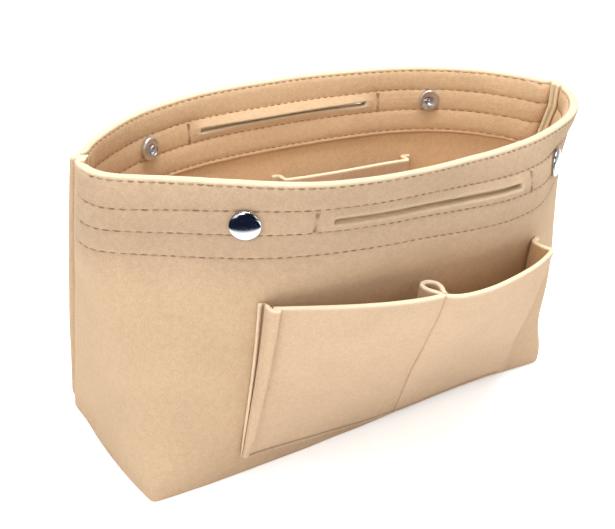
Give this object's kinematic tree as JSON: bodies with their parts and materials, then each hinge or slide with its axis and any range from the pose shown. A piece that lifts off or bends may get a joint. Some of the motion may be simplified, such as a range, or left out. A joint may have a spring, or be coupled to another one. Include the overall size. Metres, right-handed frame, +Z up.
{
  "type": "felt makeup organizer",
  "caption": "Open felt organizer with outer pockets, a pen loop, an inner pocket, a stitched facing band, carrying slits and press studs.",
  "frame": {"origin": "middle of the underside of the base panel", "axes": "+X to the right along the length as seen from the front, -Y towards the front with the outer pockets, +Z up"},
  "size_m": [0.2984, 0.1697, 0.1755],
  "materials": {
    "panel_felt": "tan wool-blend felt, soft and matte with a fine fuzz",
    "facing_felt": "tan felt facing, matte, a little warmer",
    "pocket_felt": "tan felt with pale cut edges, matte",
    "snap_metal": "bright nickel plating, polished",
    "spring_steel": "drawn spring wire, satin"
  },
  "bodies": {
    "organizer": {"front_panel": "panel_felt", "rear_panel": "panel_felt", "base_panel": "panel_felt", "front_facing_band": "facing_felt", "rear_facing_band": "facing_felt", "left_pocket_gusset": "pocket_felt", "right_pocket_gusset": "pocket_felt", "inner_pocket_left_gusset": "pocket_felt", "inner_pocket_right_gusset": "pocket_felt", "front_left_snap_cap": "snap_metal", "front_right_snap_cap": "snap_metal", "rear_left_snap_cap": "snap_metal", "rear_right_snap_cap": "snap_metal", "front_left_snap_stud": "snap_metal", "front_right_snap_stud": "snap_metal", "rear_left_snap_socket": "snap_metal", "rear_right_snap_socket": "snap_metal", "rear_left_spring_ring": "spring_steel", "rear_right_spring_ring": "spring_steel"},
    "outer_pockets": {"left_pocket_face": "pocket_felt", "right_pocket_face": "pocket_felt", "pen_loop": "pocket_felt"},
    "inner_pocket": {"inner_pocket_face": "pocket_felt"}
  },
  "joints": [
    {"name": "outer_pockets_flex", "type": "hinge", "parent": "organizer", "child": "outer_pockets", "pos_m": [0.005, -0.0557, 0.014], "axis": [1, 0, 0], "range_deg": [-2.5, 2], "stiffness_Nm_per_rad": 0.8, "deforming": ["left_pocket_gusset", "right_pocket_gusset"]},
    {"name": "inner_pocket_flex", "type": "hinge", "parent": "organizer", "child": "inner_pocket", "pos_m": [0.037, 0.0444, 0.024], "axis": [1, 0, 0], "range_deg": [-4, 2], "stiffness_Nm_per_rad": 0.4, "deforming": ["inner_pocket_left_gusset", "inner_pocket_right_gusset"]}
  ]
}
